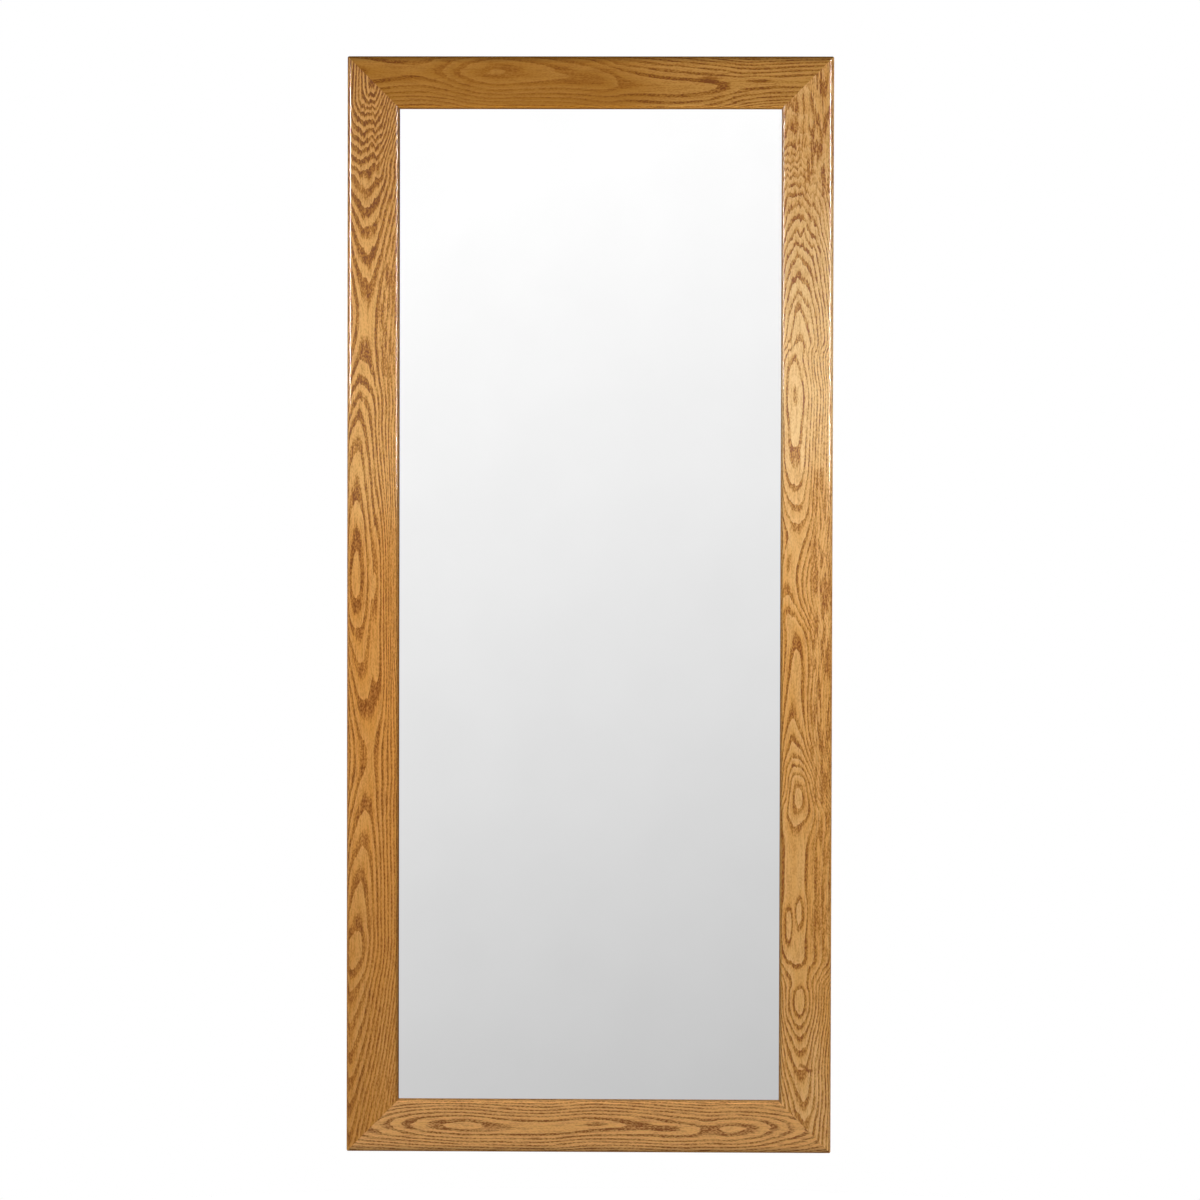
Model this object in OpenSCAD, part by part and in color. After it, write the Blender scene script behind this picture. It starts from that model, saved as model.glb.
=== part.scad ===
// Full-length wall mirror in a mitred solid oak frame.
// Millimetres. The origin is the centre of the wall plane that the rear bumpers touch.
// The front faces -Y, +X is to the right as seen from the front, +Z is up.

/* [Frame] */
// Overall width of the oak frame
mirror_width = 797; // [600:1:1000]
// Overall height of the oak frame
mirror_height = 1800; // [1200:10:2000]
// Width of each oak bar, seen from the front
bar_width = 85; // [80:1:110]
// Thickness of each oak bar, front to back
bar_depth = 30; // [28:1:40]
// Radius along the outer front edge
outer_edge_radius = 6; // [2:0.5:9]
// Radius along the front edge beside the glass
inner_edge_radius = 5; // [2:0.5:9]
// Radius along the outer rear edge
rear_edge_radius = 2; // [1:0.5:4]
// Radius of the four outer corners, seen from the front
corner_radius = 3.5; // [1:0.5:12]

/* [Rebates] */
// Depth of the front lip that holds the glass in
lip_depth = 14; // [11:0.5:16]
// Width of the rebate that holds the glass
glass_rebate = 12; // [10:0.5:14]
// Width of the shoulder that the back panel is screwed to
panel_shoulder = 14; // [12:0.5:16]
// Depth of the rebate that the back panel lies in
panel_recess = 8; // [7.5:0.5:10]

/* [Glass] */
// Thickness of the silvered glass
glass_thickness = 4; // [3:0.5:5]
// Gap around the edge of the glass, filled by the packers
glass_gap = 2; // [1:0.5:3]
// Bevel ground along the edges of the glass
glass_seam = 0.5; // [0.3:0.1:1]
// Thickness of the tape between the lip and the glass
tape_thickness = 1; // [0.5:0.5:2]
// Width of the tape and of the foam around the edge
strip_width = 7; // [4:0.5:7]
// Width of the foam strip behind the middle of the glass
middle_foam_width = 20; // [12:1:30]
// Distance from the ends of the glass to the middle foam strip
middle_foam_end = 60; // [20:5:200]
// Length of each packer at the edge of the glass
packer_length = 60; // [30:5:100]

/* [Back panel] */
// Thickness of the plywood back panel
panel_thickness = 6; // [4:0.5:6]
// Gap between the panel and the rebate around it
panel_gap = 1; // [0.5:0.5:2]
// Screws along each long side of the panel
panel_screws_side = 9; // [3:1:12]
// Screws along each short side of the panel
panel_screws_end = 4; // [2:1:6]
// Distance from the frame's corner to the nearest panel screw
panel_first_screw = 110; // [100:5:150]

/* [Mitre dowels] */
// Diameter of each dowel
dowel_diameter = 8; // [6:1:8]
// Length of each dowel
dowel_length = 40; // [30:2:40]
// Distance from the front face to the middle of the dowels
dowel_depth = 14; // [10:0.5:15]
// Outer dowel's distance from the frame's outer edge
dowel_outer = 24; // [22:1:30]
// Inner dowel's distance from the frame's outer edge
dowel_inner = 48; // [44:1:50]

/* [Corner plates] */
// Length of each arm of a corner plate
plate_arm = 92; // [88:1:120]
// Width of each arm
plate_width = 18; // [14:1:20]
// Thickness of the plate
plate_thickness = 2; // [1.5:0.5:3]
// Distance from the frame's outer edge to the plate
plate_inset = 27; // [25:1:30]
// Distance from the plate's corner to the first screw
plate_first_screw = 56; // [54:1:58]
// Distance between the screws of an arm
plate_screw_pitch = 24; // [12:1:26]

/* [Hangers] */
// Distance from the top of the frame to the ring's axis
hanger_drop = 300; // [160:10:500]
// Distance from the frame's outer edge to the middle of the hanger
hanger_inset = 30; // [24:1:36]
// Length of the strap below the ring's axis
strap_length = 78; // [76:1:110]
// Width of the strap
strap_width = 16; // [12:1:20]
// Thickness of the strap
strap_thickness = 1.5; // [1:0.25:1.5]
// Diameter of the ring's wire
ring_wire = 4; // [3:0.5:4]
// Inner radius of the ring's two bends
ring_bend_radius = 1.5; // [1:0.5:4]
// Height of the ring's straight legs
ring_leg = 3; // [1:0.5:6]
// Distance from the ring's axis to the first strap screw
strap_first_screw = 32; // [31:1:34]
// Distance between the strap screws
strap_screw_pitch = 18; // [12:1:18]
// Shank diameter of the strap screws
strap_screw_shank = 4.5; // [4:0.5:5]
// Head diameter of the strap screws
strap_screw_head = 8.5; // [8:0.5:9]
// Head height of the strap screws
strap_head_height = 2.5; // [2:0.25:3]
// Length of the strap screws under the head
strap_screw_length = 22; // [16:1:24]

/* [Bumpers] */
// Height of each rubber bumper, which is the gap to the wall
bumper_height = 8; // [7.5:0.5:14]
// Diameter of each bumper where it meets the frame
bumper_diameter = 20; // [18:1:22]
// How much narrower the bumper is at the wall
bumper_taper = 2; // [0:0.5:3]
// Thickness of the rubber under the screw's head
bumper_floor = 3; // [2:0.5:4]
// Distance from the frame's outer edge to the middle of a bumper
bumper_inset = 14; // [13:1:15]
// Distance from the frame's end to the middle of a bumper
bumper_drop = 64; // [45:1:120]

/* [Screws] */
// Shank diameter of the panel, plate and bumper screws
screw_shank = 3.5; // [3:0.5:4]
// Head diameter of the panel, plate and bumper screws
screw_head = 7; // [6:0.5:7.5]
// Head height of the panel and bumper screws
pan_height = 2; // [1.5:0.25:2]
// Length of the panel and bumper screws under the head, and of the plate screws
screw_length = 16; // [12:1:18]

/* [Hidden] */
$fn = 64;

// Clearances
fit = 0.05;       // radial, around dowels, screws and the ring's bar
ring_gap = 0.3;   // between a hanging ring and its strap
side_gap = 0.5;   // between the curl of a strap and the ring's bends
curl_slit = 0.6;  // between the free end of a curl and its strap
hole_spare = 1;   // past the end of a dowel or screw
cut = 1;          // how far a cutting shape reaches past what it cuts

// Places along X and Z
half_width = mirror_width / 2;
half_height = mirror_height / 2;
sight_width = mirror_width - 2 * bar_width;
sight_height = mirror_height - 2 * bar_width;
glass_overlap = glass_rebate - glass_gap;
glass_width = sight_width + 2 * glass_overlap;
glass_height = sight_height + 2 * glass_overlap;
strip_inset = (glass_overlap - strip_width) / 2;
panel_overlap = glass_rebate + panel_shoulder - panel_gap;
panel_width = sight_width + 2 * panel_overlap;
panel_height = sight_height + 2 * panel_overlap;
panel_screw_inset = bar_width - glass_rebate - panel_shoulder / 2;

// Places along Y
frame_back = -bumper_height;
frame_front = frame_back - bar_depth;
lip_back = frame_front + lip_depth;
glass_front = lip_back + tape_thickness;
glass_back = glass_front + glass_thickness;
panel_front = frame_back - panel_recess;
panel_back = panel_front + panel_thickness;
plate_back = frame_back + plate_thickness;
strap_back = frame_back + strap_thickness;
bumper_seat = frame_back + bumper_floor;

// Hanger
wire_radius = ring_wire / 2;
curl_inner = wire_radius + fit;
curl_outer = curl_inner + strap_thickness;
ring_bend = wire_radius + ring_bend_radius;
ring_straight = strap_width / 2 + side_gap;
ring_half_width = ring_straight + ring_bend;
ring_axis_y = strap_back + ring_gap + wire_radius;
ring_axis_z = half_height - hanger_drop;
hanger_x = half_width - hanger_inset;
strap_screw_count = 3;

// Head of a countersunk screw
sink_depth = min((screw_head - screw_shank) / 2, plate_thickness);

// Places of the panel screws, along the long and the short sides
side_span = mirror_height - 2 * panel_first_screw;
side_steps = panel_screws_side - 1;
side_places = [for (i = [0 : side_steps]) side_span * (i / side_steps - 0.5)];
end_span = mirror_width - 2 * panel_first_screw;
end_steps = panel_screws_end - 1;
end_places = [for (i = [0 : end_steps]) end_span * (i / end_steps - 0.5)];

// Places of the screws along a plate's arm, from the frame's outer edge, and of its middle
plate_places = [for (i = [0, 1]) plate_inset + plate_first_screw + i * plate_screw_pitch];
plate_line = plate_inset + plate_width / 2;

// Places of the strap screws, along Z
strap_places = [
  for (i = [0 : strap_screw_count - 1]) ring_axis_z - strap_first_screw - i * strap_screw_pitch
];

// Colours
oak = "#c4924e";
beech = "#d9b483";
plywood = "#cdb48a";
silvered = "#d6dbde";
zinc = "#b9bcc0";
black_rubber = "#26262a";
grey_foam = "#4a4c50";

// Turns what is drawn at the top left into its place at another corner
module at_corner(right, bottom) {
  mirror([right ? 1 : 0, 0, 0])
    mirror([0, 0, bottom ? 1 : 0])
      children();
}

// Repeats its children at the left and the right
module both_sides() {
  for (right = [false, true])
    at_corner(right, false)
      children();
}

// Repeats its children at the top and the bottom
module both_ends() {
  for (bottom = [false, true])
    at_corner(false, bottom)
      children();
}

// What a round of radius r takes off a square corner at the origin
module round_waste(r) {
  difference() {
    translate([-cut, -cut])
      square(r + cut);
    translate([r, r])
      circle(r);
  }
}

// Section of an oak bar: x runs inwards from the outer edge, y back from the front face
module bar_section() {
  difference() {
    square([bar_width, bar_depth]);
    round_waste(outer_edge_radius);
    translate([bar_width, 0])
      mirror([1, 0])
        round_waste(inner_edge_radius);
    translate([0, bar_depth])
      mirror([0, 1])
        round_waste(rear_edge_radius);
    translate([bar_width - glass_rebate, lip_depth])
      square([glass_rebate + cut, bar_depth]);
    translate([bar_width - glass_rebate - panel_shoulder, bar_depth - panel_recess])
      square([bar_width, panel_recess + cut]);
  }
}

// Outline of a mitred bar from the front: x inwards from the outer edge, y along the bar
module bar_outline(length) {
  difference() {
    polygon([
      [0, -length / 2],
      [0, length / 2],
      [bar_width, length / 2 - bar_width],
      [bar_width, bar_width - length / 2]
    ]);
    for (end = [0, 1])
      mirror([0, end])
        translate([0, length / 2])
          mirror([0, 1])
            round_waste(corner_radius);
  }
}

// Puts its children at both dowels of the top left mitre, with Z along the dowel
module at_dowels() {
  for (inset = [dowel_outer, dowel_inner])
    translate([inset - half_width, frame_front + dowel_depth, half_height - inset])
      rotate([0, 45, 0])
        children();
}

// Holes for the dowels at all four mitres
module dowel_holes() {
  both_sides()
    both_ends()
      at_dowels()
        cylinder(d = dowel_diameter + 2 * fit, h = dowel_length + 2 * hole_spare, center = true);
}

// One mitred bar along Z, with its outer edge at x = 0 and its front face at y = 0
module oak_bar(length) {
  intersection() {
    linear_extrude(length, center = true)
      bar_section();
    translate([0, bar_depth, 0])
      rotate([90, 0, 0])
        linear_extrude(bar_depth)
          bar_outline(length);
  }
}

// A hole along Y from the rear at y = rear, for a screw whose tip is at y = tip
module screw_hole(shank, rear, tip) {
  translate([0, rear + cut, 0])
    rotate([90, 0, 0])
      cylinder(d = shank + 2 * fit, h = rear + cut - tip + hole_spare);
}

// Puts its children at the panel screws of the left side
module at_side_screws() {
  for (z = side_places)
    translate([panel_screw_inset - half_width, 0, z])
      children();
}

// Puts its children at the panel screws of the top
module at_end_screws() {
  for (x = end_places)
    translate([x, 0, half_height - panel_screw_inset])
      children();
}

// Puts its children at the screws of the top left plate's arm that lies on the stile
module at_stile_plate_screws() {
  for (place = plate_places)
    translate([plate_line - half_width, 0, half_height - place])
      children();
}

// Puts its children at the screws of the top left plate's arm that lies on the rail
module at_rail_plate_screws() {
  for (place = plate_places)
    translate([place - half_width, 0, half_height - plate_line])
      children();
}

// Puts its children at the screws of the left hanger's strap
module at_strap_screws() {
  for (z = strap_places)
    translate([-hanger_x, 0, z])
      children();
}

// Puts its children at the middle of the top left bumper
module at_bumper() {
  translate([bumper_inset - half_width, 0, half_height - bumper_drop])
    children();
}

module stile_left() {
  color(oak)
    difference() {
      translate([-half_width, frame_front, 0])
        oak_bar(mirror_height);
      dowel_holes();
      at_side_screws()
        screw_hole(screw_shank, panel_front, panel_back - screw_length);
      at_strap_screws()
        screw_hole(strap_screw_shank, frame_back, strap_back - strap_screw_length);
      both_ends() {
        at_stile_plate_screws()
          screw_hole(screw_shank, frame_back, plate_back - screw_length);
        at_bumper()
          screw_hole(screw_shank, frame_back, bumper_seat - screw_length);
      }
    }
}

module stile_right() {
  at_corner(true, false)
    stile_left();
}

module rail_top() {
  color(oak)
    difference() {
      translate([0, frame_front, half_height])
        rotate([0, 90, 0])
          oak_bar(mirror_width);
      dowel_holes();
      at_end_screws()
        screw_hole(screw_shank, panel_front, panel_back - screw_length);
      both_sides()
        at_rail_plate_screws()
          screw_hole(screw_shank, frame_back, plate_back - screw_length);
    }
}

module rail_bottom() {
  at_corner(false, true)
    rail_top();
}

// Two chamfered dowels across each mitre
module mitre_dowels() {
  chamfer = dowel_diameter / 8;
  color(beech)
    both_sides()
      both_ends()
        at_dowels()
          for (end = [0, 1])
            mirror([0, 0, end]) {
              cylinder(d = dowel_diameter, h = dowel_length / 2 - chamfer);
              translate([0, 0, dowel_length / 2 - chamfer])
                cylinder(d1 = dowel_diameter, d2 = dowel_diameter - 2 * chamfer, h = chamfer);
            }
}

// Section of a sheet whose edges have a small bevel at the front and the back
module bevelled_section(width, thickness, bevel) {
  half = width / 2;
  polygon([
    [-half, bevel],
    [-half, thickness - bevel],
    [bevel - half, thickness],
    [half - bevel, thickness],
    [half, thickness - bevel],
    [half, bevel],
    [half - bevel, 0],
    [bevel - half, 0]
  ]);
}

// An upright sheet centred on the origin, with its front at y = 0
module sheet(width, height, thickness, bevel) {
  intersection() {
    linear_extrude(height, center = true)
      bevelled_section(width, thickness, bevel);
    rotate([0, 90, 0])
      linear_extrude(width, center = true)
        bevelled_section(height, thickness, bevel);
  }
}

module mirror_glass() {
  color(silvered)
    translate([0, glass_front, 0])
      sheet(glass_width, glass_height, glass_thickness, glass_seam);
}

// A strip along the left edge of the glass, from y = front to y = back
module side_strip(front, back) {
  translate([strip_inset - glass_width / 2, front, strip_inset - glass_height / 2])
    cube([strip_width, back - front, glass_height - 2 * strip_inset]);
}

// A strip along the top edge of the glass, between the side strips
module end_strip(front, back) {
  reach = glass_width / 2 - strip_inset - strip_width;
  translate([-reach, front, glass_height / 2 - strip_inset - strip_width])
    cube([2 * reach, back - front, strip_width]);
}

module front_tape_left() {
  color(black_rubber)
    side_strip(lip_back, glass_front);
}

module front_tape_right() {
  at_corner(true, false)
    front_tape_left();
}

module front_tape_top() {
  color(black_rubber)
    end_strip(lip_back, glass_front);
}

module front_tape_bottom() {
  at_corner(false, true)
    front_tape_top();
}

module rear_foam_left() {
  color(grey_foam)
    side_strip(glass_back, panel_front);
}

module rear_foam_right() {
  at_corner(true, false)
    rear_foam_left();
}

module rear_foam_top() {
  color(grey_foam)
    end_strip(glass_back, panel_front);
}

module rear_foam_bottom() {
  at_corner(false, true)
    rear_foam_top();
}

module rear_foam_middle() {
  height = glass_height - 2 * middle_foam_end;
  color(grey_foam)
    translate([-middle_foam_width / 2, glass_back, -height / 2])
      cube([middle_foam_width, panel_front - glass_back, height]);
}

// A block under the glass, a quarter of its width from its edge, which carries its weight
module setting_block_left() {
  color(black_rubber)
    translate([-(glass_width / 2 + packer_length) / 2, glass_front, -glass_height / 2 - glass_gap])
      cube([packer_length, glass_thickness, glass_gap]);
}

module setting_block_right() {
  at_corner(true, false)
    setting_block_left();
}

// Two blocks that keep the glass off the side of its rebate
module side_packers_left() {
  color(black_rubber)
    both_ends()
      translate([-glass_width / 2 - glass_gap, glass_front, (glass_height / 2 - packer_length) / 2])
        cube([glass_gap, glass_thickness, packer_length]);
}

module side_packers_right() {
  at_corner(true, false)
    side_packers_left();
}

module back_panel() {
  panel_bevel = panel_thickness / 8;
  color(plywood)
    difference() {
      translate([0, panel_front, 0])
        sheet(panel_width, panel_height, panel_thickness, panel_bevel);
      both_sides()
        at_side_screws()
          screw_hole(screw_shank, panel_back, panel_front);
      both_ends()
        at_end_screws()
          screw_hole(screw_shank, panel_back, panel_front);
    }
}

// Shank of a wood screw with a pointed tip, from z = 0 down to z = -length
module screw_body(shank, length) {
  translate([0, 0, shank - length])
    cylinder(d = shank, h = length - shank);
  translate([0, 0, -length])
    cylinder(d1 = shank / 4, d2 = shank, h = shank);
}

// Cross-shaped recess sunk from z = 0
module cross_recess(shank, span, depth) {
  slot = shank / 4;
  for (turn = [0, 90])
    rotate([0, 0, turn])
      translate([-span / 2, -slot / 2, -depth])
        cube([span, slot, depth + cut]);
}

// A pan-head screw along Y, with the underside of its head at the origin and its tip to -Y
module pan_screw(shank, head, height, length) {
  rotate([-90, 0, 0])
    difference() {
      union() {
        cylinder(d = head, h = height / 2);
        translate([0, 0, height / 2])
          cylinder(d1 = head, d2 = head * 0.7, h = height / 2);
        screw_body(shank, length);
      }
      translate([0, 0, height])
        cross_recess(shank, head / 2, height / 2);
    }
}

// A countersunk screw along Y, with its flat head at the origin and its tip to -Y
module flat_screw(shank, head, length) {
  rotate([-90, 0, 0])
    difference() {
      union() {
        translate([0, 0, -sink_depth])
          cylinder(d1 = shank, d2 = head, h = sink_depth);
        translate([0, 0, -sink_depth])
          screw_body(shank, length - sink_depth);
      }
      cross_recess(shank, head / 2, sink_depth / 2);
    }
}

module back_panel_screws() {
  color(zinc)
    translate([0, panel_back, 0]) {
      both_sides()
        at_side_screws()
          pan_screw(screw_shank, screw_head, pan_height, screw_length);
      both_ends()
        at_end_screws()
          pan_screw(screw_shank, screw_head, pan_height, screw_length);
    }
}

// Outline of a corner plate: its corner at the origin, its arms along x and y
module plate_outline() {
  round_end = plate_width / 2;
  difference() {
    union() {
      square([plate_arm - round_end, plate_width]);
      square([plate_width, plate_arm - round_end]);
      translate([plate_arm - round_end, round_end])
        circle(round_end);
      translate([round_end, plate_arm - round_end])
        circle(round_end);
    }
    round_waste(corner_radius);
  }
}

// Flared hole through a corner plate, centred on X and Z
module plate_hole() {
  screw_hole(screw_shank, plate_back, frame_back);
  translate([0, plate_back, 0])
    rotate([90, 0, 0])
      cylinder(d1 = screw_head + 2 * fit, d2 = screw_shank + 2 * fit, h = sink_depth);
}

module corner_plate_top_left() {
  color(zinc)
    difference() {
      translate([plate_inset - half_width, frame_back, half_height - plate_inset])
        rotate([-90, 0, 0])
          linear_extrude(plate_thickness)
            plate_outline();
      at_stile_plate_screws()
        plate_hole();
      at_rail_plate_screws()
        plate_hole();
    }
}

module corner_plate_top_right() {
  at_corner(true, false)
    corner_plate_top_left();
}

module corner_plate_bottom_left() {
  at_corner(false, true)
    corner_plate_top_left();
}

module corner_plate_bottom_right() {
  at_corner(true, true)
    corner_plate_top_left();
}

module corner_plate_screws() {
  color(zinc)
    translate([0, plate_back, 0])
      both_sides()
        both_ends() {
          at_stile_plate_screws()
            flat_screw(screw_shank, screw_head, screw_length);
          at_rail_plate_screws()
            flat_screw(screw_shank, screw_head, screw_length);
        }
}

// Steel strap on the stile's back, whose top is curled round the ring's bar
module hanger_strap_left() {
  round_end = strap_width / 2;
  flat = strap_length - round_end;
  color(zinc)
    difference() {
      union() {
        translate([-hanger_x, frame_back, ring_axis_z])
          rotate([-90, 0, 0])
            linear_extrude(strap_thickness) {
              translate([-round_end, 0])
                square([strap_width, flat]);
              translate([0, flat])
                circle(round_end);
            }
        translate([-hanger_x, ring_axis_y, ring_axis_z])
          rotate([0, 90, 0])
            cylinder(r = curl_outer, h = strap_width, center = true);
      }
      translate([-hanger_x, ring_axis_y, ring_axis_z])
        rotate([0, 90, 0])
          cylinder(r = curl_inner, h = strap_width + 2 * cut, center = true);
      translate([-hanger_x - strap_width / 2 - cut, strap_back, ring_axis_z - curl_outer - cut])
        cube([strap_width + 2 * cut, curl_slit, curl_outer + cut]);
      at_strap_screws()
        screw_hole(strap_screw_shank, strap_back, frame_back);
    }
}

module hanger_strap_right() {
  at_corner(true, false)
    hanger_strap_left();
}

module hanger_strap_screws() {
  color(zinc)
    translate([0, strap_back, 0])
      both_sides()
        at_strap_screws()
          pan_screw(strap_screw_shank, strap_screw_head, strap_head_height, strap_screw_length);
}

// D-shaped wire ring that hangs down from its bar, which turns in the strap's curl
module hanger_ring_left() {
  color(zinc)
    translate([-hanger_x, ring_axis_y, ring_axis_z])
      rotate([-90, 0, 0]) {
        rotate([0, 90, 0])
          cylinder(r = wire_radius, h = 2 * ring_straight, center = true);
        for (side = [0, 1])
          mirror([side, 0, 0]) {
            translate([ring_straight, ring_bend, 0])
              rotate([0, 0, -90])
                rotate_extrude(angle = 90)
                  translate([ring_bend, 0])
                    circle(wire_radius);
            translate([ring_half_width, ring_bend, 0])
              rotate([-90, 0, 0])
                cylinder(r = wire_radius, h = ring_leg);
          }
        translate([0, ring_bend + ring_leg, 0])
          rotate_extrude(angle = 180)
            translate([ring_half_width, 0])
              circle(wire_radius);
      }
}

module hanger_ring_right() {
  at_corner(true, false)
    hanger_ring_left();
}

// Rubber foot with a sunk screw, which keeps the frame off the wall
module wall_bumper_top_left() {
  edge = 1;
  rim = (bumper_diameter - bumper_taper) / 2;
  hole = screw_shank / 2 + fit;
  recess = screw_head / 2 + 1;
  color(black_rubber)
    translate([0, frame_back, 0])
      at_bumper()
        rotate([-90, 0, 0])
          rotate_extrude()
            polygon([
              [hole, 0],
              [bumper_diameter / 2, 0],
              [rim, bumper_height - edge],
              [rim - edge, bumper_height],
              [recess, bumper_height],
              [recess, bumper_floor],
              [hole, bumper_floor]
            ]);
}

module wall_bumper_top_right() {
  at_corner(true, false)
    wall_bumper_top_left();
}

module wall_bumper_bottom_left() {
  at_corner(false, true)
    wall_bumper_top_left();
}

module wall_bumper_bottom_right() {
  at_corner(true, true)
    wall_bumper_top_left();
}

module wall_bumper_screws() {
  color(zinc)
    translate([0, bumper_seat, 0])
      both_sides()
        both_ends()
          at_bumper()
            pan_screw(screw_shank, screw_head, pan_height, screw_length);
}

stile_left();
stile_right();
rail_top();
rail_bottom();
mitre_dowels();
mirror_glass();
front_tape_left();
front_tape_right();
front_tape_top();
front_tape_bottom();
setting_block_left();
setting_block_right();
side_packers_left();
side_packers_right();
rear_foam_left();
rear_foam_right();
rear_foam_top();
rear_foam_bottom();
rear_foam_middle();
back_panel();
back_panel_screws();
corner_plate_top_left();
corner_plate_top_right();
corner_plate_bottom_left();
corner_plate_bottom_right();
corner_plate_screws();
hanger_strap_left();
hanger_strap_right();
hanger_strap_screws();
hanger_ring_left();
hanger_ring_right();
wall_bumper_top_left();
wall_bumper_top_right();
wall_bumper_bottom_left();
wall_bumper_bottom_right();
wall_bumper_screws();
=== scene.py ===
import math
from functools import partial
import bpy
from mathutils import Matrix, Vector


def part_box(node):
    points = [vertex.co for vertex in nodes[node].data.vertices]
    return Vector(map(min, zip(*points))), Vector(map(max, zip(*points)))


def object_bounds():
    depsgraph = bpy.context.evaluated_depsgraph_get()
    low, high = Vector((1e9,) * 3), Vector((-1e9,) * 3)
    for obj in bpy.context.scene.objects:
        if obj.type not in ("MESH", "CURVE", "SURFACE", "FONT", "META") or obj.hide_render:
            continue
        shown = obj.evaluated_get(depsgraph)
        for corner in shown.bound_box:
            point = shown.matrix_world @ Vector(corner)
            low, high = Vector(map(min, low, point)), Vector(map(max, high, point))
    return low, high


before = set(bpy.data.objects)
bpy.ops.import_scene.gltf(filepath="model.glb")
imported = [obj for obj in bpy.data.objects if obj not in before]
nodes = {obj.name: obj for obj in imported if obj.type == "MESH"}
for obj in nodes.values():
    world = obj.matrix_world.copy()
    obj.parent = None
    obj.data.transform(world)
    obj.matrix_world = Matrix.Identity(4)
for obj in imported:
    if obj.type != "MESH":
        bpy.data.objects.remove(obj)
cadBox = [list(corner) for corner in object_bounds()]
frontFace = cadBox[0][1]  # m
# The mirror's sizes in mm. Its middle is at x = 0 and z = 0, and its back lies at y = 0
halfWidth, depth, halfHeight = (round(-1000 * place, 2) for place in cadBox[0])
print("frame loaded:", len(nodes), "nodes")


# sRGB hex to the linear colour that a socket takes
def colour(hexText):
    parts = [int(hexText[i:i + 2], 16) / 255 for i in (1, 3, 5)]
    return tuple(p / 12.92 if p <= 0.04045 else ((p + 0.055) / 1.055) ** 2.4 for p in parts) + (1,)


# Adds a node with its inputs, in order or by name, its operation if it has one, and other settings.
# An input is a value, a socket or another node
def addNode(tree, kind, inputs=(), operation=None, **settings):
    node = tree.nodes.new("ShaderNode" + kind)
    if operation:
        node.operation = operation
    for name, value in settings.items():
        setattr(node, name, value)
    if not isinstance(inputs, dict):
        inputs = dict(enumerate(inputs))
    for key, value in inputs.items():
        if isinstance(key, int):
            socket = node.inputs[key]
        else:
            socket = next(s for s in node.inputs if s.enabled and s.name == key)
        if isinstance(value, bpy.types.Node):
            value = next(s for s in value.outputs if s.enabled)
        if isinstance(value, bpy.types.NodeSocket):
            tree.links.new(value, socket)
        else:
            socket.default_value = value
    return node


# Noise with grains that have a size in mm along each axis
def grains(tree, place, size, detail, roughness=0.5):
    spot = addNode(tree, "VectorMath", [place, tuple(1000 / s for s in size)], "MULTIPLY")
    inputs = {"Vector": spot, "Scale": 1.0, "Detail": detail, "Roughness": roughness}
    return addNode(tree, "TexNoise", inputs)


# Starts a material and gives its tree and where on the object each point is, in metres
def startMaterial(name):
    material = bpy.data.materials.new(name)
    material.use_nodes = True
    tree = material.node_tree
    tree.nodes.clear()
    return material, tree, addNode(tree, "TexCoord").outputs["Object"]


# Ends a material with its surface shader. The values are sockets, nodes or numbers by the shader's names
def endMaterial(tree, values):
    shader = addNode(tree, "BsdfPrincipled", values)
    addNode(tree, "OutputMaterial", {"Surface": shader})
    return shader


# Gives the CAD nodes named a material in all their slots
def dress(names, material):
    for name in names:
        for slot in nodes[name].material_slots:
            slot.material = material


# The CAD nodes whose names start with one of the words given
def startingWith(words):
    return [name for name in nodes if name.startswith(words)]


# Sets a curve node's points, given in the figure's own units
def setCurve(node, points, start, end, top):
    node.mapping.use_clip = False
    curve = node.mapping.curves[0]
    points = sorted(((u - start) / (end - start), v / top) for u, v in points)
    for i, (x, y) in enumerate(points):
        if i < 2:
            curve.points[i].location = (x, y)
            point = curve.points[i]
        else:
            point = curve.points.new(x, y)
        point.handle_type = "AUTO_CLAMPED"
    node.mapping.update()


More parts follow.
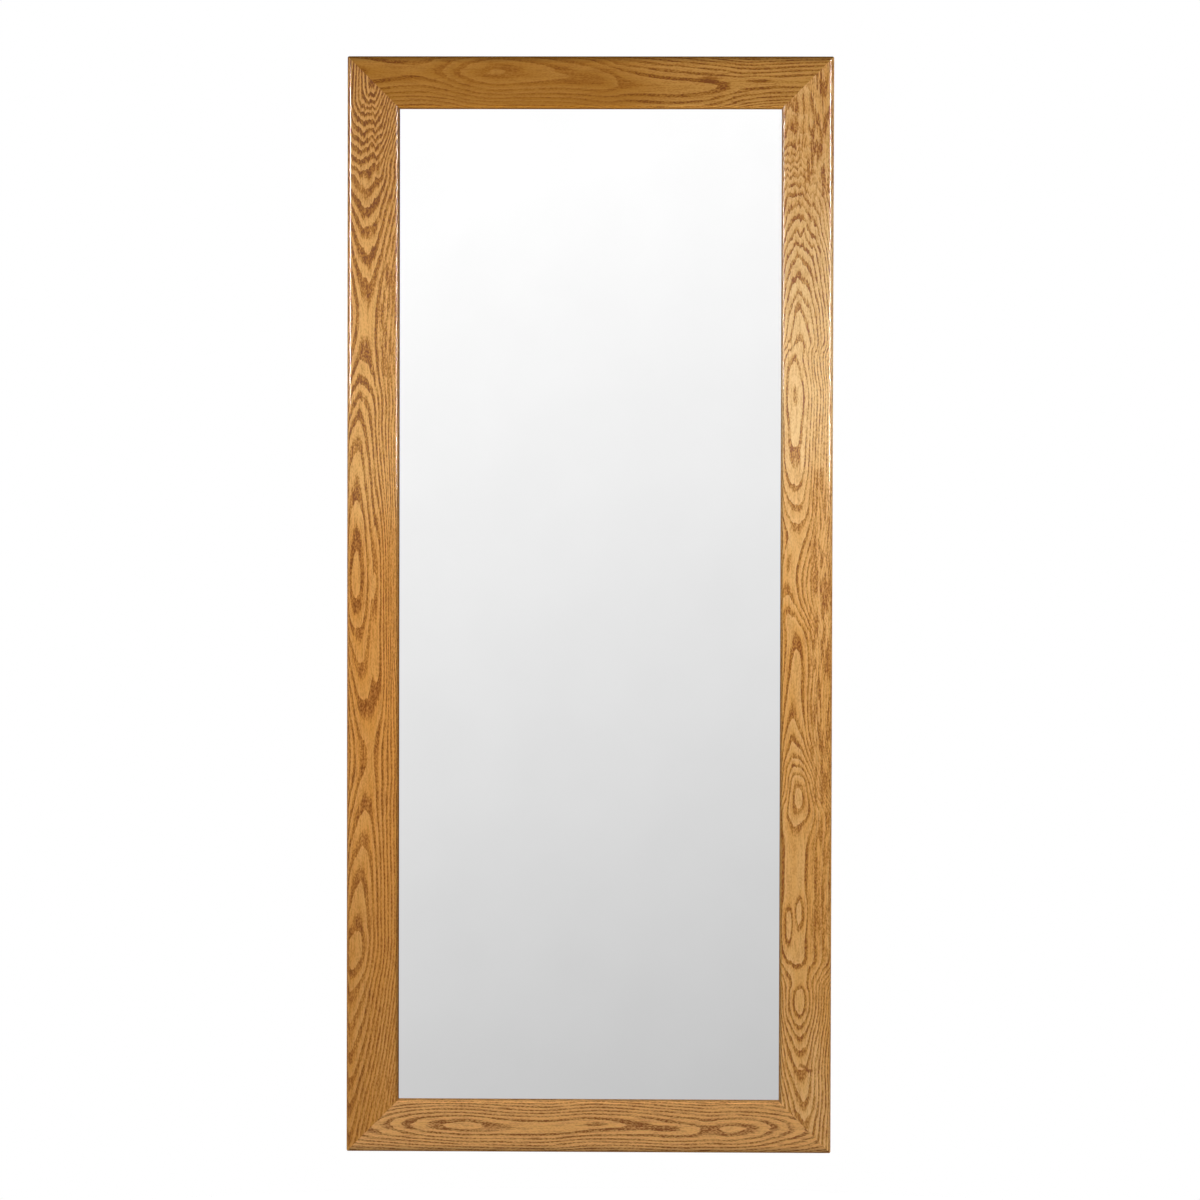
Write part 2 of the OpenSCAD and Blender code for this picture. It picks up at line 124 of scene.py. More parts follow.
# Oak: flat-sawn, mitred, planed along the grain, stained and sprayed with a satin lacquer.
# The eye sees brown rings of open pores between smooth golden late wood, in arches where the saw
# runs out of a ring and in straight lines beside them, and a bright line of lacquer on each arris.
# Each bar is cut from a board of its own. Places along a bar are mm from its middle, up or to the
# right, and places across are mm from the frame's outer edge. The curves are (place along, value):
#   heart: mm across, where the middle of the arches lies
#   rings: rings from the tree's middle to the middle of the arches
#   ringWidth: mm, the width of one ring
#   share: how much of a ring is pore band
#   clarity: how dark the pore bands are
#   jag: mm, how far the arches' teeth reach
#   paleness: from 0, the plain tones, to 1, the pale ones; along the bar it also holds painted light and
#       shade
#   stainAndShading: the wood's brightness along the bar, partly what the stain leaves of it and partly
#       painted light and shade
# The patches are (place along, place across, reach along, reach across, amount):
#   swells: rings added, which closes an arch into an oval
#   mottles: share of the pore bands that breaks up into flames
#   knots: darkness added
# The tones are (plain, pale). The last entry is painted shade on the arrises: how much darker the outer
# and the inner arris is painted, or how much paler, as painted light, where it is below 0.
oakBars = {
    "stile_left": {
        "along": (0, 0, 1), "inward": (1, 0, 0), "outerEdge": halfWidth, "half": halfHeight, "seed": 3,
        "lateWood": ("#DF9B48", "#F1B96F"), "earlyWood": ("#B5722E", "#BF8340"),
        "pores": ("#8A501C", "#905A38"),
        "heart": (
            (-900, -22), (-815, -10), (-774, -4), (-700, 4), (-626, 9), (-569, 13), (-445, 22),
            (-322, 31), (-256, 36), (-178, 32), (-59, 20), (-10, 16), (105, 15), (261, 16),
            (342, 24), (418, 28), (500, 33), (615, 33), (697, 31), (730, 24), (779, 28), (824, 34),
            (851, 39), (900, 42),
        ),
        "rings": (
            (-900, 15.5), (-815, 14.4), (-750, 13.2), (-700, 12.3), (-656, 11.4), (-626, 10.8),
            (-606, 10.2), (-588, 9.75), (-569, 9.6), (-548, 9.75), (-528, 10.2), (-445, 11.2),
            (-385, 12.2), (-314, 13.3),
            (-248, 13.9), (-178, 13.2), (-108, 12.2), (-48, 11.2), (-2, 10.2), (51, 9.8),
            (113, 10.2), (189, 11.2), (261, 12.2), (307, 13.2), (342, 14.2), (370, 15.2),
            (414, 16.2), (470, 16.7), (524, 16.2), (572, 15.2), (613, 14.2), (646, 13.2),
            (676, 12.2), (705, 11.2), (727, 10.2), (746, 9.2), (776, 7.2), (805, 5.2),
            (827, 3.2), (855, 1.2), (900, 0.0),
        ),
        "ringWidth": (
            (-900, 4.2), (-569, 4.2), (-350, 3.7), (450, 3.5), (615, 4.0), (746, 4.8), (900, 5.0),
        ),
        "clarity": ((-900, 0.6), (-400, 0.72), (0, 0.85), (300, 0.9), (650, 0.95), (900, 1.15)),
        "paleness": (
            (-900, 0.1), (-400, 0.0), (-60, 0.1), (100, 0.3), (300, 1.0), (480, 0.8), (700, 0.6),
            (900, 0.5),
        ),
        "stainAndShading": (
            (-900, 0.87), (-600, 0.885), (-250, 0.98), (100, 0.97), (350, 0.96), (560, 0.95),
            (700, 0.87), (900, 0.82),
        ),
        "share": ((-900, 0.58), (0, 0.5), (300, 0.56), (500, 0.62), (900, 0.64)),
        "jag": ((-900, 14), (300, 18), (500, 24), (900, 24)),
        "swells": ((776, 54, 75, 13, -1.1), (7, 60, 200, 17, -1.8)),
        "mottles": ((470, 66, 130, 14, 0.6), (-820, 60, 60, 30, 0.4)),
        "knots": (),
        "edges": (0.0, 0.35),
    },
    "stile_right": {
        "along": (0, 0, 1), "inward": (-1, 0, 0), "outerEdge": halfWidth, "half": halfHeight, "seed": 11,
        "lateWood": ("#E6A95A", "#FDD699"), "earlyWood": ("#BC7D36", "#D59C5A"),
        "pores": ("#8F5222", "#A3694C"),
        "heart": (
            (-900, 42), (-815, 45), (-733, 52), (-651, 52), (-600, 54), (-560, 60), (-487, 61),
            (-388, 59),
            (-314, 54), (-247, 60), (-197, 64), (-64, 58), (-26, 66), (25, 74), (133, 58),
            (227, 62), (344, 61), (401, 64), (442, 54), (500, 55), (633, 56), (779, 62), (900, 60),
        ),
        "rings": (
            (-900, 13), (-851, 12.2), (-819, 11.2), (-774, 10.2), (-738, 9.2), (-712, 8.2),
            (-692, 7.2), (-675, 6.3), (-651, 5.6), (-634, 5.8), (-618, 6.5), (-602, 6.5),
            (-585, 5.9), (-569, 5.65), (-487, 5.6), (-404, 5.6), (-363, 5.2), (-334, 4.2),
            (-314, 3.9), (-293, 4.2), (-276, 5.2),
            (-261, 6.2), (-247, 7.2), (-220, 8.2), (-178, 9.2), (-53, 10.2), (-7, 11.2),
            (25, 12.2), (89, 12.7), (133, 12.0), (155, 11.2), (189, 10.2), (227, 9.2), (270, 8.8),
            (302, 8.6), (344, 8.3), (376, 8.6), (408, 9.2), (442, 10.2), (487, 11.2), (513, 12.2),
            (544, 13.2), (575, 14.2), (593, 15.2), (611, 16.2), (633, 17.2), (674, 19.2),
            (705, 21.2), (731, 23.2), (758, 25.2), (796, 26.5), (900, 29),
        ),
        "ringWidth": (
            (-900, 3.5), (-640, 3.8), (-560, 8.0), (-380, 8.0), (-290, 3.8), (598, 3.5), (681, 4.2),
            (900, 4.5),
        ),
        "clarity": (
            (-900, 0.85), (-400, 0.8), (0, 0.82), (300, 0.85), (600, 0.94), (720, 0.9), (900, 0.82),
        ),
        "paleness": (
            (-900, 0.2), (-300, 0.0), (0, 0.05), (200, 0.4), (350, 1.0), (520, 0.85), (640, 0.6),
            (800, 0.3), (900, 0.2),
        ),
        "stainAndShading": ((-900, 0.96), (-250, 0.96), (100, 1.03), (350, 1.02), (560, 0.91), (900, 0.89)),
        "share": (
            (-900, 0.55), (-640, 0.46), (-550, 0.37), (-380, 0.34), (-280, 0.46), (0, 0.44), (300, 0.4),
            (600, 0.46), (900, 0.55),
        ),
        "jag": ((-900, 14), (200, 18), (400, 26), (600, 36), (900, 40)),
        "swells": ((79, 72, 26, 6, -0.45), (-524, 72.5, 40, 9, -0.85), (-504, 50, 36, 9.5, -0.85)),
        "mottles": ((800, 26, 140, 38, 1.0), (-60, 18, 330, 18, 0.85), (-460, 14, 170, 24, 0.45)),
        "knots": ((-757, 46, 3, 8, 0.6), (-762, 36, 3, 6, 0.8)),
        "edges": (0.0, 0.35),
    },
    "rail_top": {
        "along": (1, 0, 0), "inward": (0, 0, -1), "outerEdge": halfHeight, "half": halfWidth, "seed": 23,
        # Its tones are darker than the other bars': the board's own colour with painted shade in it
        "lateWood": ("#B07628", "#CC954A"), "earlyWood": ("#9B611B", "#A26A28"),
        "pores": ("#7C440E", "#824A20"),
        "heart": (
            (-398, 24), (-293, 23), (-246, 22), (-183, 25), (-114, 26), (-30, 32), (53, 44), (182, 51),
            (226, 48), (313, 42), (398, 40),
        ),
        "rings": (
            (-398, 9), (-344, 9.6), (-293, 9.9), (-246, 9.2), (-216, 8.2), (-183, 7.3),
            (-152, 6.9), (-114, 7.2), (-48, 7.9), (25, 8.5), (53, 9.2), (99, 9.5), (173, 9.8),
            (223, 10.3), (247, 10.9), (288, 11.0), (346, 10.8), (398, 10.7),
        ),
        "ringWidth": ((-398, 5), (150, 4.6), (280, 3.3), (398, 3.2)),
        "clarity": ((-398, 0.8), (-150, 0.5), (20, 0.55), (120, 0.8), (398, 0.8)),
        "paleness": ((-398, 0.2), (0, 0.0), (150, 0.6), (398, 0.9)),
        "stainAndShading": ((-398, 0.95), (100, 0.93), (398, 0.92)),
        "share": ((-398, 0.45), (398, 0.5)),
        "jag": ((-398, 24), (398, 30)),
        "swells": ((272, 38, 35, 6, -0.6),),
        "mottles": (),
        "knots": ((198, 38, 18, 6, 0.5), (280, 41, 24, 3, 0.4)),
        "edges": (0.5, -0.25),
    },
    "rail_bottom": {
        "along": (1, 0, 0), "inward": (0, 0, 1), "outerEdge": halfHeight, "half": halfWidth, "seed": 31,
        "lateWood": ("#E8AB60", "#F1B770"), "earlyWood": ("#C0864C", "#C48B52"),
        "pores": ("#8A5428", "#90582E"),
        "heart": (
            (-398, 40), (-298, 45), (-205, 43.5), (-81, 40), (17, 46), (201, 38), (267, 40),
            (335, 42), (398, 42),
        ),
        "rings": (
            (-398, 9.5), (-361, 8.2), (-331, 7.2), (-298, 6.2), (-254, 5.3), (-232, 5.05),
            (-205, 4.88), (-178, 5.05), (-140, 5.4), (17, 5.7), (99, 6.2), (165, 6.7), (201, 7.2),
            (231, 6.9), (267, 7.2), (305, 8.2), (335, 9.2), (398, 11.5),
        ),
        "ringWidth": ((-398, 4.0), (398, 4.0)),
        "clarity": ((-398, 0.85), (398, 0.85)),
        "paleness": ((-398, 0.5), (398, 0.5)),
        "stainAndShading": ((-398, 0.94), (398, 0.94)),
        "share": ((-398, 0.52), (398, 0.5)),
        "jag": ((-398, 26), (398, 26)),
        "swells": ((17, 47, 25, 5, -0.35), (132, 40, 23, 6, -0.25)),
        "mottles": (),
        "knots": ((90, 49, 14, 4, 0.4),),
        "edges": (0.55, -0.3),
    },
}
# The most that each curve reaches
curveTops = {
    "heart": 100, "rings": 30, "ringWidth": 10, "share": 1, "clarity": 1.5, "jag": 50, "paleness": 1,
    "stainAndShading": 1.2,
}
# Streaks that every board has: mm along, mm across, seed, how far they reach up and down together, detail
oakStreaks = {
    "teeth": (60, 8, 2, 1, 2.0),
    "fray": (6, 1.8, 4, 3, 1.0),  # mm, the ragged ends of the pore bands
    "sway": (120, 12, 5, 4, 2.0),  # mm, across the straight lines
    "wander": (230, 18, 1, 0.6, 1.0),  # rings, the slow waves of the tree
    "gaps": (50, 5, 14, 1, 2.0),  # where a pore band is thin
    "flames": (36, 4.4, 12, 1, 3.0),  # loose patches of pores
    "dashes": (4.5, 1.9, 6, 1, 1.0),  # single pores, drawn wider than they are so that they show
    "fibres": (24, 2.2, 8, 1.0, 3.0),
    "tint": (300, 30, 9, 0.8, 2.0),  # the stain's uneven take
}
# From where to where a value turns another from 0 to 1, or else to the two values that follow
oakRamps = {
    "gaps": (-0.2, 0.1, 0.45, 1.1),
    "flames": (-0.03, 0.07),
    "dashes": (-0.08, 0.1),
    "ripe": (0.5, 1.0, 0.0, 0.25),  # paleness that late wood gains through a ring
    "outerShade": (12.0, 0.0),  # mm across
    "innerShade": (80.0, 82.0),  # mm across
    "frontShade": (12.0, 6.0),  # mm deep
    "outerArris": (6.0, 5.4),  # mm across
    "innerArris": (80.0, 80.6),  # mm across
    "shallow": (3.0, 1.5),  # mm deep
    "toEarlyWood": (0.0, 0.5), "toPores": (0.5, 1.0),  # darkness over which each shade takes over
}
oakFinish = {
    "poreBand": ((0, 0), (0.08, 0.95), (0.35, 1), (0.7, 0.8), (0.88, 0.35), (1, 0)),  # sharp, then fading
    "faintYear": 0.72, "yearSpread": 0.45,  # the palest year's pore band, and the most that others add
    "brokenBand": 0.6, "bandPores": 0.7,  # a pore band between its pores, and how much darker they are
    "latePores": 0.2,  # how dark the few pores of the late wood are
    "poreRelief": 0.00015,  # m
    "poreBump": 0.7, "filmBump": 0.1,  # share of the relief in the wood and in the lacquer over it
    "roughness": 0.5, "poreRoughness": 0.14,
    "lacquer": 0.25, "lacquerRoughness": 0.06,
    "thick": 1.15, "sinks": 0.2, "sinksInside": 0.55,  # shares of the lacquer, and what pores take of it
    "wornOff": 1.6,  # how much less lacquer a darkened arris has
    "paintedSheen": 0.009,  # share of white mixed into the colour of the flats, a painted sheen in place of the lacquer's reflection there
}


# One board's nodes. Places are in mm: u along the bar, w in from its outer edge, d back from its front,
# and v is u after the zigzags of the arches and the ragged ends of the bands
class Board:
    def __init__(self, tree, place, look):
        self.look = look
        self.add = partial(addNode, tree)
        self.u = self.measured(place, look["along"], 0)
        self.w = self.measured(place, look["inward"], look["outerEdge"])
        self.d = self.measured(place, (0, 1, 0), depth)
        teeth = [self.streaks("teeth"), self.curve("jag", self.u), self.u]
        teeth = self.add("Math", teeth, "MULTIPLY_ADD")
        self.v = self.add("Math", [teeth, self.streaks("fray")], "ADD")

    # How far along an axis a place is, in mm, with start at the middle of the mirror's back
    def measured(self, place, axis, start):
        reach = self.add("VectorMath", [place, tuple(1000 * a for a in axis)], "DOT_PRODUCT")
        return self.add("Math", [reach.outputs["Value"], start], "ADD")

    # Streaks along the bar that swing round 0
    def streaks(self, name):
        along, across, seed, reach, detail = oakStreaks[name]
        spot = self.add("CombineXYZ", [self.u, self.w, self.d])
        spot = self.add("VectorMath", [spot, (1 / along, 1 / across, 1 / across)], "MULTIPLY")
        spot = self.add("VectorMath", [spot, (seed, self.look["seed"], seed * 0.7)], "ADD")
        waves = self.add("TexNoise", {"Vector": spot, "Scale": 1.0, "Detail": detail})
        return self.add("Math", [waves, reach, -reach / 2], "MULTIPLY_ADD")

    # The value of one of the bar's curves at a place along it
    def curve(self, name, where):
        half = self.look["half"]
        curve = self.add("FloatCurve", {"Value": self.add("MapRange", [where, -half, half])})
        setCurve(curve, self.look[name], -half, half, curveTops[name])
        return self.add("Math", [curve, curveTops[name]], "MULTIPLY")

    # An oval patch of the bar: 1 in its middle, fading to nothing past its reach
    def patch(self, where, along, across, reachAlong, reachAcross):
        spot = self.add("CombineXYZ", [where, self.w, 0])
        spot = self.add("VectorMath", [spot, (along, across, 0)], "SUBTRACT")
        spot = self.add("VectorMath", [spot, (reachAlong, reachAcross, 1)], "DIVIDE")
        far = self.add("VectorMath", [spot, spot], "DOT_PRODUCT").outputs["Value"]
        return self.add("Math", [math.exp(-1), self.add("Math", [far, far], "MULTIPLY")], "POWER")

    # Which growth ring a point is in: its distance from the tree's middle, which lies in front of the bar
    def rings(self):
        ringWidth = self.curve("ringWidth", self.v)
        side = self.add("Math", [self.w, self.streaks("sway")], "ADD")
        side = self.add("Math", [side, self.curve("heart", self.v)], "SUBTRACT")
        side = self.add("Math", [side, ringWidth], "DIVIDE")
        deep = self.add("Math", [self.d, ringWidth], "DIVIDE")
        deep = self.add("Math", [deep, self.curve("rings", self.v)], "ADD")
        ring = self.add("VectorMath", [self.add("CombineXYZ", [side, deep, 0])], "LENGTH")
        ring = ring.outputs["Value"]
        for *oval, amount in self.look["swells"]:
            ring = self.add("Math", [self.patch(self.v, *oval), amount, ring], "MULTIPLY_ADD")
        return self.add("Math", [ring, self.streaks("wander")], "ADD")

    # The bands of pores that each year starts with, broken by gaps and, in places, into flames
    def bands(self, ring, phase):
        young = self.add("Math", [phase, self.curve("share", self.u)], "DIVIDE", use_clamp=True)
        band = self.add("FloatCurve", {"Value": young})
        setCurve(band, oakFinish["poreBand"], 0, 1, 1)
        year = self.add("TexWhiteNoise", {"W": self.add("Math", [ring], "FLOOR")}, noise_dimensions="1D")
        year = [year.outputs["Value"], oakFinish["yearSpread"], oakFinish["faintYear"]]
        band = self.add("Math", [band, self.add("Math", year, "MULTIPLY_ADD")], "MULTIPLY")
        gaps = self.add("MapRange", [self.streaks("gaps"), *oakRamps["gaps"]])
        band = self.add("Math", [band, gaps], "MULTIPLY")
        flames = [self.streaks("flames"), *oakRamps["flames"]]
        flames = self.add("MapRange", flames, interpolation_type="SMOOTHSTEP")
        for *oval, amount in self.look["mottles"]:
            share = self.add("Math", [self.patch(self.u, *oval), amount], "MULTIPLY")
            band = self.add("Mix", {"Factor": share, "A": band, "B": flames})
        return band

    # How dark each point is, from 0 in smooth late wood to 1 in open pores
    def darkness(self, band, dashes):
        pores = [dashes, oakFinish["bandPores"], oakFinish["brokenBand"]]
        pores = self.add("Math", pores, "MULTIPLY_ADD")
        inBand = self.add("Math", [band, self.curve("clarity", self.u)], "MULTIPLY")
        inBand = self.add("Math", [inBand, pores], "MULTIPLY")
        late = self.add("Math", [1, band], "SUBTRACT", use_clamp=True)
        late = self.add("Math", [late, dashes], "MULTIPLY")
        dark = self.add("Math", [late, oakFinish["latePores"], inBand], "MULTIPLY_ADD")
        dark = self.add("Math", [dark, self.streaks("fibres")], "ADD")
        for *oval, amount in self.look["knots"]:
            dark = self.add("Math", [self.patch(self.v, *oval), amount, dark], "MULTIPLY_ADD")
        return self.add("Math", [dark, 0], "ADD", use_clamp=True)

    # The wood's colour: each shade runs from its plain to its pale tone
    def stained(self, phase, dark):
        ripe = self.add("MapRange", [phase, *oakRamps["ripe"]])
        pale = self.add("Math", [ripe, self.curve("paleness", self.u)], "ADD")
        pale = self.add("Math", [pale, self.streaks("tint")], "ADD", use_clamp=True)
        shades = []
        for plainTone, paleTone in (self.look["lateWood"], self.look["earlyWood"], self.look["pores"]):
            tones = {"Factor": pale, "A": colour(plainTone), "B": colour(paleTone)}
            shades.append(self.add("Mix", tones, data_type="RGBA"))
        early = self.add("MapRange", [dark, *oakRamps["toEarlyWood"]])
        pores = self.add("MapRange", [dark, *oakRamps["toPores"]])
        tone = self.add("Mix", {"Factor": early, "A": shades[0], "B": shades[1]}, data_type="RGBA")
        return self.add("Mix", {"Factor": pores, "A": tone, "B": shades[2]}, data_type="RGBA")

    # 1 on the rounded arrises of the front, 0 on the flats and the sides
    def arrises(self):
        outer = self.add("MapRange", [self.w, *oakRamps["outerArris"]])
        inner = self.add("MapRange", [self.w, *oakRamps["innerArris"]])
        shallow = self.add("MapRange", [self.d, *oakRamps["shallow"]])
        return self.add("Math", [self.add("Math", [outer, inner], "MAXIMUM"), shallow], "MULTIPLY")

    # How thick the lacquer is: it sinks into the pores, most of all inside, which breaks the bright line
    def lacquered(self, dashes, inner, paintedOuterShade, glossy):
        sinks = [inner, -oakFinish["sinksInside"], -oakFinish["sinks"]]
        sinks = self.add("Math", [dashes, self.add("Math", sinks, "MULTIPLY_ADD")], "MULTIPLY")
        film = self.add("Math", [sinks, oakFinish["thick"]], "ADD")
        film = self.add("Math", [film, oakFinish["lacquer"]], "MULTIPLY")
        left = self.add("Math", [paintedOuterShade, -oakFinish["wornOff"], 1], "MULTIPLY_ADD")
        film = self.add("Math", [film, left], "MULTIPLY", use_clamp=True)
        return self.add("Math", [film, glossy], "MULTIPLY")


def makeOak(bar, look):
    material, tree, place = startMaterial("oak_flat_sawn_lacquered_" + bar)
    add = partial(addNode, tree)
    board = Board(tree, place, look)
    ring = board.rings()
    phase = add("Math", [ring], "FRACT")
    dashes = [board.streaks("dashes"), *oakRamps["dashes"]]
    dashes = add("MapRange", dashes, interpolation_type="SMOOTHSTEP")
    dark = board.darkness(board.bands(ring, phase), dashes)
    tone = board.stained(phase, dark)

    # Painted shade and painted light on the arrises, and the brightness along the bar, partly the stain's
    # and partly painted light and shade
    outer = add("MapRange", [board.w, *oakRamps["outerShade"]])
    inner = add("MapRange", [board.w, *oakRamps["innerShade"]])
    front = add("MapRange", [board.d, *oakRamps["frontShade"]])
    outerEdge, innerEdge = look["edges"]
    # Painted shade darkens the front of the outer arris; the inner arris gets painted shade on the stiles
    # and painted light on the rails
    paintedOuterShade = add("Math", [add("Math", [outer, front], "MULTIPLY"), outerEdge], "MULTIPLY")
    shade = add("Math", [inner, -innerEdge, add("Math", [1, paintedOuterShade], "SUBTRACT")], "MULTIPLY_ADD")
    shade = add("Math", [shade, board.curve("stainAndShading", board.u)], "MULTIPLY")
    tone = add("VectorMath", {0: tone, "Scale": shade}, "SCALE")

    # The lacquer is rubbed down matt on the flats and the sides, and keeps its gloss on the arrises. The
    # flats get a little white in their colour: a painted sheen in place of the lacquer's reflection.
    glossy = board.arrises()
    sheenShare = add("Math", [glossy, -oakFinish["paintedSheen"], oakFinish["paintedSheen"]], "MULTIPLY_ADD")
    tone = add("Mix", {"Factor": sheenShare, "A": tone, "B": colour("#FFFFFF")}, data_type="RGBA")

    relief = {"Height": add("Math", [1, dark], "SUBTRACT"), "Distance": oakFinish["poreRelief"]}
    rough = add("Math", [dark, oakFinish["poreRoughness"], oakFinish["roughness"]], "MULTIPLY_ADD")
    endMaterial(tree, {
        "Base Color": tone,
        "Roughness": rough,
        "Normal": add("Bump", relief | {"Strength": oakFinish["poreBump"]}),
        "Coat Weight": board.lacquered(dashes, inner, paintedOuterShade, glossy),
        "Coat Roughness": oakFinish["lacquerRoughness"],
        "Coat Normal": add("Bump", relief | {"Strength": oakFinish["filmBump"]}),
        "Specular IOR Level": 0.0,  # the lacquer makes the gloss
    })
    return material


for bar, look in oakBars.items():
    dress([bar], makeOak(bar, look))
print("oak bars done")


# Mirror glass: float glass, silvered on its back. A clean even reflection with the faintest film of dust.
# Sizes in mm
mirrorGlass = {"silver": "#FCFCFC", "dust": "#F5F5F5", "roughness": 0.006, "dustSize": 140}


def makeMirrorGlass(look):
    material, tree, place = startMaterial("float_glass_silvered")
    film = addNode(tree, "TexNoise", {"Vector": place, "Scale": 1000 / look["dustSize"], "Detail": 6.0})
    tint = addNode(tree, "Mix", {"Factor": film, "A": colour(look["silver"]), "B": colour(look["dust"])},
                   data_type="RGBA")
    rough = addNode(tree, "MapRange", [film, 0.0, 1.0, 0.0, 2 * look["roughness"]])
    endMaterial(tree, {
        "Base Color": tint, "Roughness": rough, "Metallic": 1.0,
        "Coat Weight": 1.0, "Coat Roughness": 0.0,
    })
    return material


dress(["mirror_glass"], makeMirrorGlass(mirrorGlass))
print("mirror glass done")


# Birch plywood: rotary-cut faces, sanded. Pale wood with a broad soft wave and short brown flecks,
# and five plies at its edges. Sizes in mm, those of the patterns across, through and along the panel
backPanel = {
    "veneer": "#E2C292", "wave": "#CDA36C", "fleck": "#9F7044", "crossPly": "#AC7F4F",
    "waveSize": (46, 20, 420), "waves": 5, "waveRange": (-0.4, 1.0), "waveTint": 0.55, "waveLess": 0.25,
    "fibreSize": (2.2, 10 / 3, 70), "fibreTint": 0.9, "fibreRelief": 0.08,
    "fleckSize": (1.8, 10 / 3, 14), "fleckRange": (0.66, 0.74),
    "ply": 1.2, "roughness": 0.62, "fibreRoughness": 0.14, "bump": 0.6,
}


def makePlywood(look):
    material, tree, place = startMaterial("plywood_birch_sanded")
    add = partial(addNode, tree)
    wave = grains(tree, place, look["waveSize"], 3.0, 0.4)
    wave = add("Math", [wave, 2 * math.pi * look["waves"]], "MULTIPLY")
    wave = add("Math", [wave], "SINE")
    wave = add("MapRange", [wave, *look["waveRange"]], interpolation_type="SMOOTHSTEP")
    fibre = grains(tree, place, look["fibreSize"], 2.0)
    fleck = add("MapRange", [grains(tree, place, look["fleckSize"], 1.0), *look["fleckRange"]])
    soft = add("Math", [wave, look["waveTint"], -look["waveLess"]], "MULTIPLY_ADD")
    soft = add("Math", [fibre, look["fibreTint"], soft], "MULTIPLY_ADD", use_clamp=True)
    tones = {"Factor": soft, "A": colour(look["veneer"]), "B": colour(look["wave"])}
    tone = add("Mix", tones, data_type="RGBA")
    tone = add("Mix", {"Factor": fleck, "A": tone, "B": colour(look["fleck"])}, data_type="RGBA")
    # Every second ply, counted from the panel's front, runs across and is darker
    panelFront = round(-1000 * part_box("back_panel")[0][1], 2)
    mm = add("VectorMath", {0: place, "Scale": 1000.0}, "SCALE")
    ply = add("Math", [add("SeparateXYZ", [mm]).outputs["Y"], panelFront], "ADD")
    ply = add("Math", [ply, 2 * look["ply"]], "MODULO")
    ply = add("Math", [ply, look["ply"]], "GREATER_THAN")
    tone = add("Mix", {"Factor": ply, "A": tone, "B": colour(look["crossPly"])}, data_type="RGBA")
    relief = look["fibreRelief"] / 1000
    nap = add("Bump", {"Height": fibre, "Strength": look["bump"], "Distance": relief})
    roughest = look["roughness"] + look["fibreRoughness"]
    rough = add("MapRange", [fibre, 0.0, 1.0, look["roughness"], roughest])
    endMaterial(tree, {"Base Color": tone, "Roughness": rough, "Normal": nap, "Specular IOR Level": 0.3})
    return material


dress(["back_panel"], makePlywood(backPanel))
print("back panel done")


# Beech: turned, bare. Pinkish wood with short brown rays all over. Sizes in mm
mitreDowels = {
    "wood": "#D9B083", "ray": "#A97A50", "raySize": (0.8, 0.8, 3.0), "rayRange": (0.5, 0.68),
    "relief": 0.1, "bump": 0.4, "roughness": 0.6, "rayRoughness": 0.75,
}


def makeBeech(look):
    material, tree, place = startMaterial("beech_turned_bare")
    rays = grains(tree, place, look["raySize"], 2.0)
    mark = addNode(tree, "MapRange", [rays, *look["rayRange"]])
    tone = addNode(tree, "Mix", {"Factor": mark, "A": colour(look["wood"]), "B": colour(look["ray"])},
                   data_type="RGBA")
    rough = addNode(tree, "MapRange", [mark, 0.0, 1.0, look["roughness"], look["rayRoughness"]])
    relief = look["relief"] / 1000
    grain = addNode(tree, "Bump", {"Height": rays, "Strength": look["bump"], "Distance": relief})
    endMaterial(tree, {"Base Color": tone, "Roughness": rough, "Normal": grain})
    return material


dress(["mitre_dowels"], makeBeech(mitreDowels))
print("dowels done")


# Closed-cell foam: PVC tape in front of the glass, polyethylene strips behind it.
# A dull skin of tiny bubbles, each with a darker and less dull pit. Sizes in mm
foams = {
    "front_tape": {
        "name": "pvc_foam_tape_extruded", "face": "#1B1C1D", "pit": "#0E0F10", "cell": 0.5,
        "relief": 0.06, "roughness": 0.7,
    },
    "rear_foam": {
        "name": "polyethylene_foam_cut", "face": "#55585A", "pit": "#3A3D3F", "cell": 1.2,
        "relief": 0.2, "roughness": 0.82,
    },
}
# What both foams share. A pit reaches this share of a cell's size from its middle
foamSkin = {"pitReach": 0.7, "faceRoughness": 0.95, "bump": 0.8, "specular": 0.25}


def makeFoam(look):
    material, tree, place = startMaterial(look["name"])
    cells = addNode(tree, "TexVoronoi", {"Vector": place, "Scale": 1000 / look["cell"]})
    skin = addNode(tree, "MapRange", [cells.outputs["Distance"], 0.0, foamSkin["pitReach"]])
    tone = addNode(tree, "Mix", {"Factor": skin, "A": colour(look["pit"]), "B": colour(look["face"])},
                   data_type="RGBA")
    rough = addNode(tree, "MapRange", [skin, 0.0, 1.0, look["roughness"], foamSkin["faceRoughness"]])
    relief = look["relief"] / 1000
    bump = addNode(tree, "Bump", {"Height": skin, "Strength": foamSkin["bump"], "Distance": relief})
    endMaterial(tree, {
        "Base Color": tone, "Roughness": rough, "Normal": bump,
        "Specular IOR Level": foamSkin["specular"],
    })
    return material


for start, look in foams.items():
    dress(startingWith(start), makeFoam(look))
print("tape and foam done")


# Rubber: EPDM blocks cut from strip under and beside the glass, bumpers moulded in a spark-eroded mould.
# Deep grey-black with a faint grain, a dusty bloom and a soft wide sheen. Sizes in mm
rubbers = {
    "packers": {
        "name": "epdm_rubber_cut", "nodes": ("setting_block", "side_packers"),
        "face": "#232425", "bloom": "#3B3C3D", "grain": 0.8, "relief": 0.05, "roughness": 0.6,
    },
    "bumpers": {
        "name": "natural_rubber_moulded", "nodes": ("wall_bumper_top", "wall_bumper_bottom"),
        "face": "#1D1D1E", "bloom": "#353536", "grain": 0.5, "relief": 0.04, "roughness": 0.5,
    },
}
# What both rubbers share
rubberSkin = {
    "bloomSize": 14, "bloomRange": (0.42, 0.72), "bloomRoughness": 0.2, "bump": 0.6, "ior": 1.52,
}


